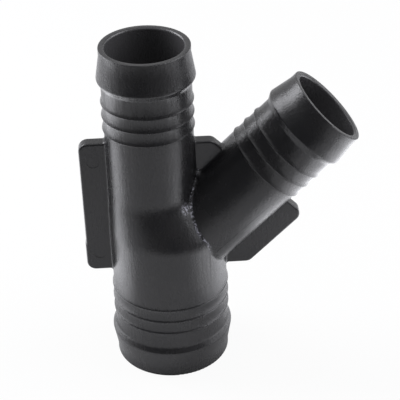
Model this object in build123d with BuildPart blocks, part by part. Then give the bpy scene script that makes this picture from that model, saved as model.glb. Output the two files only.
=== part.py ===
from build123d import *
from math import cos, radians, sin, tan
import os

# Tubing Y connector: one moulding with a wide stem below, an upright arm and a slanted
# branch, each ending in a barbed hose tail, and flat webs in the plane of the three axes.
# Lengths are in millimetres and angles in degrees. The origin is the centre of the stem's
# mouth, the stem's axis is +Z, and all three axes lie in the XZ plane.

# Stem, for the wide hose. These are diameters.
stem_bore = 33.2
stem_tube = 37.5
stem_nose = 37.6
stem_barb = 40.1

# Arm and branch, for the narrow hose. These are diameters.
arm_bore = 24.0
arm_tube = 27.9
arm_nose = 28.0
arm_barb = 30.5

# Hose tail. Stations are measured from the mouth along the tail's axis.
nose_length = 2.6
barb_station = 10.0
barb_back = 2.3
barb_round = 1.1
ring_station = 17.7
ring_pitch = 4.55
ring_count = 3
ring_height = 0.5
ring_front = 1.1
ring_back = 0.9
ring_round = 0.3
rim_round = 0.25
mouth_round = 0.75

# Body.
arm_height = 112.7
arm_offset = 4.45
flare_height = 46.5
branch_angle = 45.0
branch_root = 38.1
branch_length = 72.4
flare_round = 10.0
seam_fillet = 1.6

# Webs. The clear lengths are how much of each tail is left above its webs.
web_thickness = 4.2
fin_width = 8.4
branch_web_width = 8.2
stem_clear = 33.1
arm_clear = 33.1
fin_clear = 32.1
branch_clear = 32.3
web_corner = 3.0
web_edge_round = 0.7
fin_foot_height = 43.0
fin_foot_step = 0.25
web_fillet = 0.9

# Shallow round marks that the ejector pins leave on the front of the fin.
pin_mark = 4.0
pin_mark_depth = 0.12
pin_mark_inset = 4.3
pin_mark_margin = 6.6

stem_radius = stem_tube / 2
arm_radius = arm_tube / 2

# Each mouth plane stands at the middle of a mouth, and its normal points into the tail.
stem_mouth = Plane.XY
arm_mouth = Plane(origin=(-arm_offset, 0, arm_height), x_dir=(1, 0, 0), z_dir=(0, 0, -1))
branch_out = Vector(sin(radians(branch_angle)), 0, cos(radians(branch_angle)))
branch_side = Vector(cos(radians(branch_angle)), 0, -sin(radians(branch_angle)))
branch_start = Vector(0, 0, branch_root)
branch_mouth = Plane(
    origin=branch_start + branch_out * branch_length,
    x_dir=branch_side,
    z_dir=branch_out * -1,
)

# The flare ends where the walls of the arm and the branch meet, at the crotch.
crotch_x = arm_radius - arm_offset
crotch_height = (
    branch_root + crotch_x / tan(radians(branch_angle)) + arm_radius / sin(radians(branch_angle))
)
web_bottom = stem_clear
web_top = arm_height - arm_clear
fin_top = arm_height - fin_clear
branch_web_end = branch_length - branch_clear


def profile_plane(mouth):
    """Plane through a tail's axis: local X is the radius, local Y the station."""
    return Plane(origin=mouth.origin, x_dir=mouth.x_dir, z_dir=mouth.y_dir * -1)


def mouth_axis(mouth):
    """Axis of the tail behind a mouth."""
    return Axis(mouth.origin, mouth.z_dir)


def corner_at(outline, radius, station):
    """Corner of an outline that lies at this radius and station."""
    return outline.vertices().sort_by_distance((radius, station))[0]


def tail_outline(mouth, nose, barb, tube, length):
    """Half section of a solid tail: nose, cone up to the main barb, back slope and rings."""
    nose_radius = nose / 2
    barb_radius = barb / 2
    tube_radius = tube / 2
    ring_radius = tube_radius + ring_height
    ring_stations = [ring_station + ring_pitch * i for i in range(ring_count)]
    points = [
        (0, 0),
        (nose_radius, 0),
        (nose_radius, nose_length),
        (barb_radius, barb_station),
        (tube_radius, barb_station + barb_back),
    ]
    for station in ring_stations:
        points += [
            (tube_radius, station - ring_front),
            (ring_radius, station),
            (tube_radius, station + ring_back),
        ]
    points += [(tube_radius, length), (0, length)]
    with BuildSketch(profile_plane(mouth)) as outline:
        with BuildLine():
            Polyline(*points, close=True)
        make_face()
        fillet(corner_at(outline, nose_radius, 0), rim_round)
        fillet(corner_at(outline, barb_radius, barb_station), barb_round)
        for station in ring_stations:
            fillet(corner_at(outline, ring_radius, station), ring_round)
    return outline.sketch


def passage_outline(mouth, bore, length):
    """Half section of a bore, flared at its mouth for the rounded entry."""
    bore_radius = bore / 2
    with BuildSketch(profile_plane(mouth)) as outline:
        with BuildLine():
            entry = RadiusArc(
                (bore_radius + mouth_round, 0), (bore_radius, mouth_round), mouth_round
            )
            Polyline(entry @ 1, (bore_radius, length), (0, length), (0, 0), entry @ 0)
        make_face()
    return outline.sketch


def on_branch(station, side):
    """Point of the XZ plane at this station along the branch and this far to its lower side."""
    point = branch_start + branch_out * station + branch_side * side
    return (point.X, point.Z)


with BuildPart() as webs:
    fin_reach = arm_offset + arm_radius + fin_width
    with BuildSketch(Plane.XZ):
        with BuildLine():
            Polyline(
                (-arm_offset, fin_top),
                (-fin_reach, fin_top),
                (-fin_reach, fin_foot_height + fin_foot_step),
                (-fin_reach - fin_foot_step, fin_foot_height),
                (-fin_reach - fin_foot_step, web_bottom),
                (-arm_offset, web_bottom),
                close=True,
            )
        make_face()
        fillet(
            [
                vertices().sort_by_distance((-fin_reach, fin_top))[0],
                vertices().sort_by_distance((-fin_reach - fin_foot_step, web_bottom))[0],
            ],
            web_corner,
        )
    extrude(amount=web_thickness / 2, both=True)

    crotch_corner_x = (
        branch_web_end - (web_top - branch_root) * branch_out.Z
    ) / branch_out.X
    with BuildSketch(Plane.XZ):
        with BuildLine():
            Polyline(
                (-arm_offset, web_top),
                (crotch_corner_x, web_top),
                on_branch(branch_web_end, 0),
                on_branch(0, 0),
                (-arm_offset, branch_root),
                close=True,
            )
        make_face()
        fillet(vertices().sort_by_distance((crotch_corner_x, web_top))[0], web_corner)
    extrude(amount=web_thickness / 2, both=True)

    branch_reach = arm_radius + branch_web_width
    foot_station = (web_bottom - branch_root - branch_side.Z * branch_reach) / branch_out.Z
    with BuildSketch(Plane.XZ):
        with BuildLine():
            Polyline(
                on_branch(branch_web_end, 0),
                on_branch(branch_web_end, branch_reach),
                on_branch(foot_station, branch_reach),
                (0, web_bottom),
                on_branch(0, 0),
                close=True,
            )
        make_face()
        fillet(vertices().sort_by(Axis.X)[-1:], web_corner)
        fillet(
            vertices().sort_by_distance(on_branch(foot_station, branch_reach))[0], web_corner
        )
    extrude(amount=web_thickness / 2, both=True)
    fillet(faces().filter_by(Axis.Y).edges(), web_edge_round)


with BuildPart() as connector:
    revolve(
        tail_outline(stem_mouth, stem_nose, stem_barb, stem_tube, flare_height),
        axis=mouth_axis(stem_mouth),
    )
    revolve(
        tail_outline(arm_mouth, arm_nose, arm_barb, arm_tube, arm_height - crotch_height),
        axis=mouth_axis(arm_mouth),
    )
    with BuildSketch(Plane.XY.offset(flare_height)):
        Circle(stem_radius)
    with BuildSketch(Plane.XY.offset(crotch_height)):
        with Locations((-arm_offset, 0)):
            Circle(arm_radius)
    loft()
    flare_ends = (
        edges().filter_by(GeomType.CIRCLE).filter_by_position(Axis.Z, web_bottom, web_top)
    )
    fillet(flare_ends, flare_round)
    revolve(
        tail_outline(branch_mouth, arm_nose, arm_barb, arm_tube, branch_length),
        axis=mouth_axis(branch_mouth),
    )
    fillet(edges(Select.NEW), seam_fillet)
    add(webs.part)
    fillet(edges(Select.NEW), web_fillet)

    revolve(
        passage_outline(stem_mouth, stem_bore, flare_height),
        axis=mouth_axis(stem_mouth),
        mode=Mode.SUBTRACT,
    )
    revolve(
        passage_outline(arm_mouth, arm_bore, arm_height - crotch_height),
        axis=mouth_axis(arm_mouth),
        mode=Mode.SUBTRACT,
    )
    revolve(
        passage_outline(branch_mouth, arm_bore, branch_length),
        axis=mouth_axis(branch_mouth),
        mode=Mode.SUBTRACT,
    )
    with BuildSketch(Plane.XY.offset(flare_height)):
        Circle(stem_bore / 2)
    with BuildSketch(Plane.XY.offset(crotch_height)):
        with Locations((-arm_offset, 0)):
            Circle(arm_bore / 2)
    loft(mode=Mode.SUBTRACT)

    with BuildSketch(Plane.XZ.offset(web_thickness / 2)):
        with Locations(
            (pin_mark_inset - fin_reach, fin_top - pin_mark_margin),
            (pin_mark_inset - fin_reach, web_bottom + pin_mark_margin),
        ):
            Circle(pin_mark / 2)
    extrude(amount=-pin_mark_depth, mode=Mode.SUBTRACT)

connector.part.label = "connector_body"
os.makedirs("parts", exist_ok=True)
export_step(connector.part, "parts/connector_body.step")
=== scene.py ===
import math

import bmesh
import bpy
import numpy as np
from mathutils import Matrix, Vector


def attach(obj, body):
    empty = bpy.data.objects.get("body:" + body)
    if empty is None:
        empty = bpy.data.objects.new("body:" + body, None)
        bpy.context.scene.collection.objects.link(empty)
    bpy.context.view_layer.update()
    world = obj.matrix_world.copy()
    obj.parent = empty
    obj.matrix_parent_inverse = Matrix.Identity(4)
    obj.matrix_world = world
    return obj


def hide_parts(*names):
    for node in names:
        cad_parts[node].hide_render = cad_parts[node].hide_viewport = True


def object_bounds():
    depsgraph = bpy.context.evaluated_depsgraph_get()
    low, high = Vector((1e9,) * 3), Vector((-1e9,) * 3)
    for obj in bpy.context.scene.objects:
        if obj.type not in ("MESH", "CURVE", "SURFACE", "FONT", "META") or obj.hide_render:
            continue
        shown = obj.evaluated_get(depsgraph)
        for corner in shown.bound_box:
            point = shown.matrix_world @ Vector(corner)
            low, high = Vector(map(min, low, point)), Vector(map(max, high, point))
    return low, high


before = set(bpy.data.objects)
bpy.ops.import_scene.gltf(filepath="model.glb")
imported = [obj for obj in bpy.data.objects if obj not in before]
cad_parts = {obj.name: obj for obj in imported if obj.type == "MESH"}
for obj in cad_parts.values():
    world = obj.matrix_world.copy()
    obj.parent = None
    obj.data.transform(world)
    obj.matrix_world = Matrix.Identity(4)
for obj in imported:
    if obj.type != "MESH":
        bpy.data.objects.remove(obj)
cad_low, cad_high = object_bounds()

MM = 0.001
WELD_DISTANCE = 0.002 * MM
SHARP_ANGLE = 40             # degrees between two faces

# The three tubes, in millimetres, as the CAD has them.
STEM_RADIUS = 18.75
ARM_RADIUS = 13.95
STEM_BORE_RADIUS = 16.6
ARM_BORE_RADIUS = 12.0
ARM_OFFSET = 4.45
ARM_HEIGHT = 112.7
BRANCH_ROOT = 38.1
BRANCH_LENGTH = 72.4
BRANCH_LEAN = math.sqrt(0.5)     # sine and cosine of the branch's 45 degrees

# The joint where they meet, in millimetres. A form gives the radii of stem, arm and branch,
# and a flare gives the heights where it begins and ends.
WALL_FORM = (STEM_RADIUS, ARM_RADIUS, ARM_RADIUS)
PASSAGE_FORM = (STEM_BORE_RADIUS, ARM_BORE_RADIUS, ARM_BORE_RADIUS)
CAD_FLARE = (46.5, 67.3)
DRAWN_FLARE = (49.0, 62.25)
FLARE_SOFTENING = 1.8
SEAM_BLEND = 0.7
PASSAGE_BLEND = 0.05
WALL_SKIN = (-0.6, 1.0)      # how far the CAD's wall lies outside its form, at the fillets too
PASSAGE_SKIN = 0.4
JOINT_LOW = (-19.0, 3.0, 44.0)   # X, distance to either side in Y, and Z
JOINT_HIGH = (25.0, 19.0, 73.0)
WEB_FADE = 1.5
JOINT_EDGE = 1.0             # longest edge left in the joint
SEAM_EDGE = 0.35             # longest edge left within the seam's band
SEAM_BAND = 1.5
REFINING_PASSES = 6
SEATING_STEPS = 6
PROBE = 0.01
LEAST_SLOPE = 0.1            # squared, keeps a step short where the form is flat

# Scuffs at the seam, paled further by a painted highlight, in millimetres: a spot, and a line
# with its strength at each height.
SCUFF_AND_HIGHLIGHT_PLACE = (6.2, -11.6, 61.0)
SCUFF_AND_HIGHLIGHT_REACH = 1.7
SCUFF_AND_HIGHLIGHT_LINE = 0.45
SCUFF_AND_HIGHLIGHT_LINE_HEIGHTS = (44.0, 52.0, 63.0, 66.0)
SCUFF_AND_HIGHLIGHT_LINE_STRENGTHS = (0.0, 0.75, 1.0, 0.5)
PASSAGE_REACH = 0.3          # how far outside a bore's radius its rim still counts as passage

# Rings of the hose tails, in millimetres. Stations are measured from the mouth.
TAILS = (                    # middle of the mouth, way in, radius of the tube
    ((0, 0, 0), (0, 0, 1), STEM_RADIUS),
    ((-ARM_OFFSET, 0, ARM_HEIGHT), (0, 0, -1), ARM_RADIUS),
    (
        (BRANCH_LENGTH * BRANCH_LEAN, 0, BRANCH_ROOT + BRANCH_LENGTH * BRANCH_LEAN),
        (-BRANCH_LEAN, 0, -BRANCH_LEAN),
        ARM_RADIUS,
    ),
)
FIRST_RING = 17.7
RING_PITCH = 4.55
RING_COUNT = 3
RING_SKIN = (-0.2, 0.7)      # how far from the tube's radius a ring's surface lies
CAD_RING = (-1.7, -1.1, 0.0, 0.9, 1.5)    # plain tube, foot, crest, foot and plain tube
DRAWN_RING = (-1.7, -0.9, 0.2, 0.7, 1.5)

# Plastic. A noise's scale is in features per metre.
GRAIN = {"scale": 1700.0, "detail": 3.0, "roughness": 0.65}
FLOW = {"scale": 900.0, "detail": 5.0, "roughness": 0.65}
CLOUD = {"scale": 60.0, "detail": 3.0, "roughness": 0.5}
SCRATCHES = {"scale": 1300.0, "detail": 2.0, "roughness": 0.7}
FLOW_STRETCH = (1.0, 1.0, 0.22)
GRAIN_STRENGTH = 0.70
GRAIN_DEPTH = 0.1 * MM
FLOW_STRENGTH = 0.28
FLOW_DEPTH = 0.3 * MM
CLOUD_SPREAD = (0.35, 0.65)
GLOSS_SPREAD = (0.3, 0.7)
GLOSS_ROUGHNESS = (0.17, 0.24)
FLOW_ROUGHNESS = 0.12
SCRATCH_SPREAD = (0.46, 0.60)
SCUFF_AND_HIGHLIGHT_SPREAD = (0.03, 0.7)
SCUFF_AND_HIGHLIGHT_STRENGTH = 0.80
PLASTIC_IOR = 1.5
DARK_SKIN = (0.0170, 0.0170, 0.0182, 1)
LIGHT_SKIN = (0.0225, 0.0220, 0.0228, 1)
# Pale colour for the seam: scuffs, and a painted highlight on the seam's fillet.
SCUFF_AND_HIGHLIGHT_SKIN = (0.50, 0.50, 0.57, 1)
# Painted light: the passages are coloured about three times lighter than the skin, to stand in
# for light inside the bores.
PASSAGE_PAINTED_LIGHT = (0.062, 0.061, 0.063, 1)

# Studio, in metres and degrees.
WHITE = (1, 1, 1, 1)
FLOOR_LEFT = -0.6
FLOOR_RIGHT = 0.6
FLOOR_FRONT = -0.23
FLOOR_BACK = 0.8
FLOOR_COLOUR = (0.64, 0.64, 0.64, 1)
FLOOR_WHITE_SHARE = 0.93     # of what the camera sees, the rest keeps the shadow
ROOM_FRONT = (0.075, 0.075, 0.08, 1)
ROOM_BEHIND = (0.65, 0.65, 0.66, 1)
ROOM_OVERHEAD = (0.90, 0.90, 0.92, 1)
BEHIND_SPREAD = (-0.35, 0.5)     # of a direction's Y
OVERHEAD_SPREAD = (0.6, 0.95)    # of a direction's Z
LAMP_TINT = (0.95, 0.955, 1.0)
SOFT_BOX_DISTANCE = 0.6
LIGHT_TABLE_HEIGHT = 1 * MM
CAMERA_AZIMUTH = -2.007
CAMERA_ELEVATION = 32.65
CAMERA_ROLL = -1.863
CAMERA_DISTANCE = 0.45024
CAMERA_FOCAL = 1304.94       # in pixels of the square picture
CAMERA_NEAR = 0.01
CAMERA_FAR = 10
PICTURE_SIDE = 400           # pixels
STEM_MOUTH_PIXEL = (173.50, 340.15)
SENSOR = 36.0                # millimetres


def ramp(distance):
    """Zero before the bend, the distance after it, and a soft curve in between."""
    soft = np.clip(distance + FLARE_SOFTENING, 0, 2 * FLARE_SOFTENING)
    return soft**2 / (4 * FLARE_SOFTENING) + np.maximum(distance - FLARE_SOFTENING, 0)


def joint_distances(points, form, flare):
    """Distance of each point outside the upright body, and outside the branch."""
    x, y, z = points.T
    stem_radius, arm_radius, branch_radius = form
    share = (ramp(z - flare[0]) - ramp(z - flare[1])) / (flare[1] - flare[0])
    radius = stem_radius + (arm_radius - stem_radius) * share
    upright = np.hypot(x + ARM_OFFSET * share, y) - radius
    branch = np.hypot((x - z + BRANCH_ROOT) * BRANCH_LEAN, y) - branch_radius
    return upright, branch


def joint_field(points, form, flare, blend):
    """Distance of each point outside the joint, whose seam is rounded by the blend."""
    upright, branch = joint_distances(points, form, flare)
    near = np.maximum(blend - np.abs(upright - branch), 0)
    return np.minimum(upright, branch) - near**2 / (4 * blend)


def in_joint(points):
    """Which points lie in the joint and beside the webs."""
    folded = points * (1, 0, 1) + np.abs(points) * (0, 1, 0)
    return np.all((folded > JOINT_LOW) & (folded < JOINT_HIGH), axis=1)


def seated(points, form, blend):
    """The points moved straight on to the drawn form."""
    for _ in range(SEATING_STEPS):
        value = joint_field(points, form, DRAWN_FLARE, blend)
        slope = np.stack(
            [
                joint_field(points + step, form, DRAWN_FLARE, blend)
                - joint_field(points - step, form, DRAWN_FLARE, blend)
                for step in np.eye(3) * PROBE
            ],
            axis=1,
        ) / (2 * PROBE)
        steep = np.maximum((slope**2).sum(axis=1), LEAST_SLOPE)
        points = points - slope * (value / steep)[:, None]
    return points


def refine_joint(shell):
    """Cut the long edges of the joint, and those at its seam most finely."""
    for _ in range(REFINING_PASSES):
        edges = list(shell.edges)
        middles = np.array([(e.verts[0].co + e.verts[1].co) / 2 for e in edges]) / MM
        lengths = np.array([e.calc_length() for e in edges]) / MM
        upright, branch = joint_distances(middles, WALL_FORM, DRAWN_FLARE)
        limit = np.where(np.abs(upright - branch) < SEAM_BAND, SEAM_EDGE, JOINT_EDGE)
        long = in_joint(middles) & (lengths > limit)
        chosen = [edge for edge, pick in zip(edges, long) if pick]
        bmesh.ops.subdivide_edges(shell, edges=chosen, cuts=1)
        open_faces = [face for face in shell.faces if len(face.verts) > 3]
        bmesh.ops.triangulate(shell, faces=open_faces)


def seat_joint(shell):
    """Give the joint its crisp seam and its short flare, outside and in the passage."""
    verts = list(shell.verts)
    points = np.array([vert.co for vert in verts]) / MM
    wall = joint_field(points, WALL_FORM, CAD_FLARE, SEAM_BLEND)
    passage = joint_field(points, PASSAGE_FORM, CAD_FLARE, PASSAGE_BLEND)
    weight = np.clip((np.abs(points[:, 1]) - JOINT_LOW[1]) / WEB_FADE, 0, 1)[:, None]
    outside = in_joint(points) & (wall > WALL_SKIN[0]) & (wall < WALL_SKIN[1])
    inside = in_joint(points) & (np.abs(passage) < PASSAGE_SKIN)
    for chosen, form, blend in (
        (outside, WALL_FORM, SEAM_BLEND),
        (inside, PASSAGE_FORM, PASSAGE_BLEND),
    ):
        old = points[chosen]
        points[chosen] = old + (seated(old, form, blend) - old) * weight[chosen]
    for vert, point in zip(verts, points):
        vert.co = Vector(point) * MM


def crisp_rings(shell):
    """Give each ring of the hose tails a steep back and a crest close to it."""
    verts = list(shell.verts)
    points = np.array([vert.co for vert in verts]) / MM
    for mouth, way_in, tube in TAILS:
        station = (points - mouth) @ np.array(way_in)
        axis = mouth + station[:, None] * way_in
        height = np.linalg.norm(points - axis, axis=1) - tube
        skin = (height > RING_SKIN[0]) & (height < RING_SKIN[1])
        for ring in range(RING_COUNT):
            offset = station - FIRST_RING - ring * RING_PITCH
            here = skin & (offset > CAD_RING[0]) & (offset < CAD_RING[-1])
            step = np.interp(offset, CAD_RING, DRAWN_RING) - offset
            points += (step * here)[:, None] * way_in
    for vert, point in zip(verts, points):
        vert.co = Vector(point) * MM


def surface_marks(mesh):
    """Two values for the plastic: where the passages are, and where the seam is scuffed and
    carries a painted highlight.
    """
    points = np.array([vert.co for vert in mesh.vertices]) / MM
    x, y, z = points.T
    upright, branch = joint_distances(points, PASSAGE_FORM, DRAWN_FLARE)
    in_branch = (branch < PASSAGE_REACH) & (x + z > BRANCH_ROOT)
    passage = (upright < PASSAGE_REACH) | in_branch
    upright, branch = joint_distances(points, WALL_FORM, DRAWN_FLARE)
    # Scuffs and a painted highlight along the seam, and on a spot beside it.
    line = np.exp(-(((upright - branch) / SCUFF_AND_HIGHLIGHT_LINE) ** 2)) * (np.abs(upright) < SEAM_BAND)
    line *= np.interp(z, SCUFF_AND_HIGHLIGHT_LINE_HEIGHTS, SCUFF_AND_HIGHLIGHT_LINE_STRENGTHS) * (x > 0)
    spot = np.exp(-((points - SCUFF_AND_HIGHLIGHT_PLACE) ** 2).sum(axis=1) / SCUFF_AND_HIGHLIGHT_REACH**2)
    scuff_and_highlight = np.clip(line + spot, 0, 1) * (y < 0) * ~passage
    for name, values in (("passage", passage.astype(float)), ("scuff_and_highlight", scuff_and_highlight)):
        mesh.attributes.new(name, "FLOAT", "POINT").data.foreach_set("value", values)


def moulding_piece():
    """A welded copy of the CAD node with its joint and rings drawn crisp, shaded smooth."""
    shell = bmesh.new()
    shell.from_mesh(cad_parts["connector_body"].data)
    bmesh.ops.remove_doubles(shell, verts=shell.verts, dist=WELD_DISTANCE)
    refine_joint(shell)
    seat_joint(shell)
    crisp_rings(shell)
    for edge in shell.edges:
        edge.smooth = edge.calc_face_angle(0.0) < math.radians(SHARP_ANGLE)
    for face in shell.faces:
        face.smooth = True
    bmesh.ops.dissolve_degenerate(shell, edges=shell.edges, dist=WELD_DISTANCE)
    mesh = bpy.data.meshes.new("moulding")
    shell.to_mesh(mesh)
    shell.free()
    mesh.validate()
    surface_marks(mesh)
    piece = bpy.data.objects.new("moulding", mesh)
    bpy.context.scene.collection.objects.link(piece)
    normals = piece.modifiers.new("weighted_normals", "WEIGHTED_NORMAL")
    normals.keep_sharp = True
    depsgraph = bpy.context.evaluated_depsgraph_get()
    piece.data = bpy.data.meshes.new_from_object(piece.evaluated_get(depsgraph))
    piece.modifiers.clear()
    return piece


class NodeDesk:
    """Adds nodes to one tree and wires them, so that a material reads from top to bottom."""

    # The Mix node's colour sockets share their names with its number and vector ones.
    MIX_A = 6
    MIX_B = 7
    MIX_RESULT = 2

    def __init__(self, tree):
        self.tree = tree
        tree.nodes.clear()

    def add(self, kind, inputs=None, **settings):
        node = self.tree.nodes.new(kind)
        for name, value in settings.items():
            setattr(node, name, value)
        for socket, value in (inputs or {}).items():
            self.feed(node.inputs[socket], value)
        return node

    def feed(self, socket, value):
        if isinstance(value, bpy.types.NodeSocket):
            self.tree.links.new(value, socket)
        else:
            socket.default_value = value

    def noise(self, vector, scale, detail, roughness):
        node = self.add(
            "ShaderNodeTexNoise",
            {"Vector": vector, "Scale": scale, "Detail": detail, "Roughness": roughness},
        )
        return node.outputs["Fac"]

    def math(self, operation, a, b):
        node = self.add("ShaderNodeMath", {0: a, 1: b}, operation=operation)
        return node.outputs[0]

    def spread(self, value, low, high, to_low=0.0, to_high=1.0):
        node = self.add(
            "ShaderNodeMapRange",
            {
                "Value": value,
                "From Min": low,
                "From Max": high,
                "To Min": to_low,
                "To Max": to_high,
            },
            interpolation_type="SMOOTHSTEP",
        )
        return node.outputs["Result"]

    def mix(self, share, a, b):
        node = self.add("ShaderNodeMix", data_type="RGBA")
        self.feed(node.inputs["Factor"], share)
        self.feed(node.inputs[self.MIX_A], a)
        self.feed(node.inputs[self.MIX_B], b)
        return node.outputs[self.MIX_RESULT]


def black_moulded_plastic():
    """Near-black satin plastic with grain and flow marks, scuffed at the seam under a painted
    highlight, with painted light in the passages.
    """
    material = bpy.data.materials.new("black_moulded_plastic")
    material.use_nodes = True
    desk = NodeDesk(material.node_tree)
    place = desk.add("ShaderNodeTexCoord").outputs["Object"]
    flow_place = desk.add("ShaderNodeMapping", {"Vector": place, "Scale": FLOW_STRETCH})
    grain = desk.noise(place, **GRAIN)
    flow = desk.noise(flow_place.outputs["Vector"], **FLOW)
    cloud = desk.noise(place, **CLOUD)
    passage = desk.add("ShaderNodeAttribute", attribute_name="passage").outputs["Fac"]
    scuff_and_highlight = desk.add("ShaderNodeAttribute", attribute_name="scuff_and_highlight").outputs["Fac"]
    scratches = desk.spread(desk.noise(place, **SCRATCHES), *SCRATCH_SPREAD)
    # The seam's scuffs, paled also by a painted highlight.
    scuffed_and_highlit = desk.math("MULTIPLY", desk.spread(scuff_and_highlight, *SCUFF_AND_HIGHLIGHT_SPREAD), scratches)
    skin = desk.mix(desk.spread(cloud, *CLOUD_SPREAD), DARK_SKIN, LIGHT_SKIN)
    skin = desk.mix(desk.math("MULTIPLY", scuffed_and_highlit, SCUFF_AND_HIGHLIGHT_STRENGTH), skin, SCUFF_AND_HIGHLIGHT_SKIN)
    # Painted light: the passages take a lighter colour than the skin.
    colour = desk.mix(passage, skin, PASSAGE_PAINTED_LIGHT)
    roughness = desk.math(
        "ADD",
        desk.spread(cloud, *GLOSS_SPREAD, *GLOSS_ROUGHNESS),
        desk.math("MULTIPLY", flow, FLOW_ROUGHNESS),
    )
    grain_bump = desk.add(
        "ShaderNodeBump",
        {"Height": grain, "Strength": GRAIN_STRENGTH, "Distance": GRAIN_DEPTH},
    )
    flow_bump = desk.add(
        "ShaderNodeBump",
        {
            "Height": flow,
            "Strength": FLOW_STRENGTH,
            "Distance": FLOW_DEPTH,
            "Normal": grain_bump.outputs["Normal"],
        },
    )
    shader = desk.add(
        "ShaderNodeBsdfPrincipled",
        {
            "Base Color": colour,
            "Roughness": roughness,
            "IOR": PLASTIC_IOR,
            "Normal": flow_bump.outputs["Normal"],
        },
    )
    desk.add("ShaderNodeOutputMaterial", {"Surface": shader.outputs["BSDF"]})
    return material


def pale_floor():
    """Pale matte floor that the camera sees nearly white, with a faint shadow left on it."""
    material = bpy.data.materials.new("pale_floor")
    material.use_nodes = True
    desk = NodeDesk(material.node_tree)
    path = desk.add("ShaderNodeLightPath")
    matte = desk.add("ShaderNodeBsdfDiffuse", {"Color": FLOOR_COLOUR})
    white = desk.add("ShaderNodeEmission", {"Color": WHITE, "Strength": 1.0})
    share = desk.math("MULTIPLY", path.outputs["Is Camera Ray"], FLOOR_WHITE_SHARE)
    mixed = desk.add(
        "ShaderNodeMixShader",
        {0: share, 1: matte.outputs[0], 2: white.outputs[0]},
    )
    desk.add("ShaderNodeOutputMaterial", {"Surface": mixed.outputs[0]})
    return material


def make_floor():
    """Table top that ends a short way in front of the part."""
    corners = [
        (FLOOR_LEFT, FLOOR_FRONT, 0.0),
        (FLOOR_RIGHT, FLOOR_FRONT, 0.0),
        (FLOOR_RIGHT, FLOOR_BACK, 0.0),
        (FLOOR_LEFT, FLOOR_BACK, 0.0),
    ]
    mesh = bpy.data.meshes.new("floor")
    mesh.from_pydata(corners, [], [(0, 1, 2, 3)])
    mesh.materials.append(pale_floor())
    floor = bpy.data.objects.new("floor", mesh)
    bpy.context.scene.collection.objects.link(floor)


def make_world():
    """White for the camera, and a room that is pale behind the part and above, dark in front."""
    world = bpy.data.worlds.new("studio")
    bpy.context.scene.world = world
    world.use_nodes = True
    desk = NodeDesk(world.node_tree)
    direction = desk.add("ShaderNodeTexCoord").outputs["Generated"]
    parts = desk.add("ShaderNodeSeparateXYZ", {"Vector": direction})
    behind = desk.spread(parts.outputs["Y"], *BEHIND_SPREAD)
    overhead = desk.spread(parts.outputs["Z"], *OVERHEAD_SPREAD)
    walls = desk.mix(behind, ROOM_FRONT, ROOM_BEHIND)
    room = desk.mix(overhead, walls, ROOM_OVERHEAD)
    path = desk.add("ShaderNodeLightPath")
    colour = desk.mix(path.outputs["Is Camera Ray"], room, WHITE)
    background = desk.add("ShaderNodeBackground", {"Color": colour, "Strength": 1.0})
    desk.add("ShaderNodeOutputWorld", {"Surface": background.outputs[0]})


def area_lamp(name, width, height, radiance):
    """Oblong lamp whose face has this radiance, 1 being white."""
    data = bpy.data.lights.new(name, "AREA")
    data.shape = "RECTANGLE"
    data.size = width
    data.size_y = height
    data.energy = radiance * math.pi * width * height
    data.color = LAMP_TINT
    lamp = bpy.data.objects.new(name, data)
    bpy.context.scene.collection.objects.link(lamp)
    return lamp


def direction_to(azimuth, elevation):
    """Unit vector from the part to a place at this azimuth and elevation, in degrees."""
    a = math.radians(azimuth)
    e = math.radians(elevation)
    return Vector((math.sin(a) * math.cos(e), -math.cos(a) * math.cos(e), math.sin(e)))


def make_soft_box(name, azimuth, elevation, width, height, radiance):
    """Upright lamp that faces the part from this direction, azimuth 0 being the front."""
    lamp = area_lamp(name, width, height, radiance)
    middle = (cad_low + cad_high) / 2
    away = direction_to(azimuth, elevation)
    lamp.location = middle + away * SOFT_BOX_DISTANCE
    lamp.rotation_mode = "QUATERNION"
    lamp.rotation_quaternion = away.to_track_quat("Z", "Y")


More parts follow.
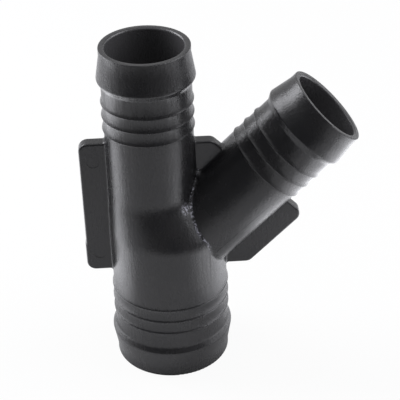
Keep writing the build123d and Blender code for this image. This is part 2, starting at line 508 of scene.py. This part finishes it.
def make_light_table(name, across, along, radiance):
    """Lamp that lies on the floor and shines up, between these two X and these two Y."""
    lamp = area_lamp(name, across[1] - across[0], along[1] - along[0], radiance)
    lamp.location = (sum(across) / 2, sum(along) / 2, LIGHT_TABLE_HEIGHT)
    lamp.rotation_euler = (math.pi, 0, 0)


def make_camera():
    """Camera placed so that the middle of the stem's mouth falls on its pixel."""
    back = direction_to(CAMERA_AZIMUTH, CAMERA_ELEVATION)
    level = Vector(
        (math.cos(math.radians(CAMERA_AZIMUTH)), math.sin(math.radians(CAMERA_AZIMUTH)), 0)
    )
    lift = back.cross(level)
    roll = math.radians(CAMERA_ROLL)
    right = level * math.cos(roll) + lift * math.sin(roll)
    up = lift * math.cos(roll) - level * math.sin(roll)
    side_step = (STEM_MOUTH_PIXEL[0] - PICTURE_SIDE / 2) * CAMERA_DISTANCE / CAMERA_FOCAL
    up_step = (PICTURE_SIDE / 2 - STEM_MOUTH_PIXEL[1]) * CAMERA_DISTANCE / CAMERA_FOCAL
    data = bpy.data.cameras.new("camera")
    data.sensor_width = SENSOR
    data.lens = CAMERA_FOCAL / PICTURE_SIDE * SENSOR
    data.clip_start = CAMERA_NEAR
    data.clip_end = CAMERA_FAR
    camera = bpy.data.objects.new("camera", data)
    bpy.context.scene.collection.objects.link(camera)
    place = back * CAMERA_DISTANCE - right * side_step - up * up_step
    camera.matrix_world = Matrix.Translation(place) @ Matrix(
        (right, up, back)
    ).transposed().to_4x4()
    bpy.context.scene.camera = camera


moulding = moulding_piece()
moulding.data.materials.clear()
moulding.data.materials.append(black_moulded_plastic())
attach(moulding, "root")
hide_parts("connector_body")

make_floor()
make_world()
make_soft_box("soft_box_left", azimuth=-114, elevation=32, width=0.35, height=0.55, radiance=7.2)
make_soft_box("soft_box_right", azimuth=90, elevation=34, width=0.50, height=0.60, radiance=3.4)
make_light_table("light_table_left", across=(-0.30, -0.05), along=(-0.02, 0.10), radiance=2.1)
make_light_table("light_table_right", across=(0.05, 0.30), along=(-0.06, 0.09), radiance=1.75)
make_camera()
bpy.context.scene.view_settings.view_transform = "Standard"
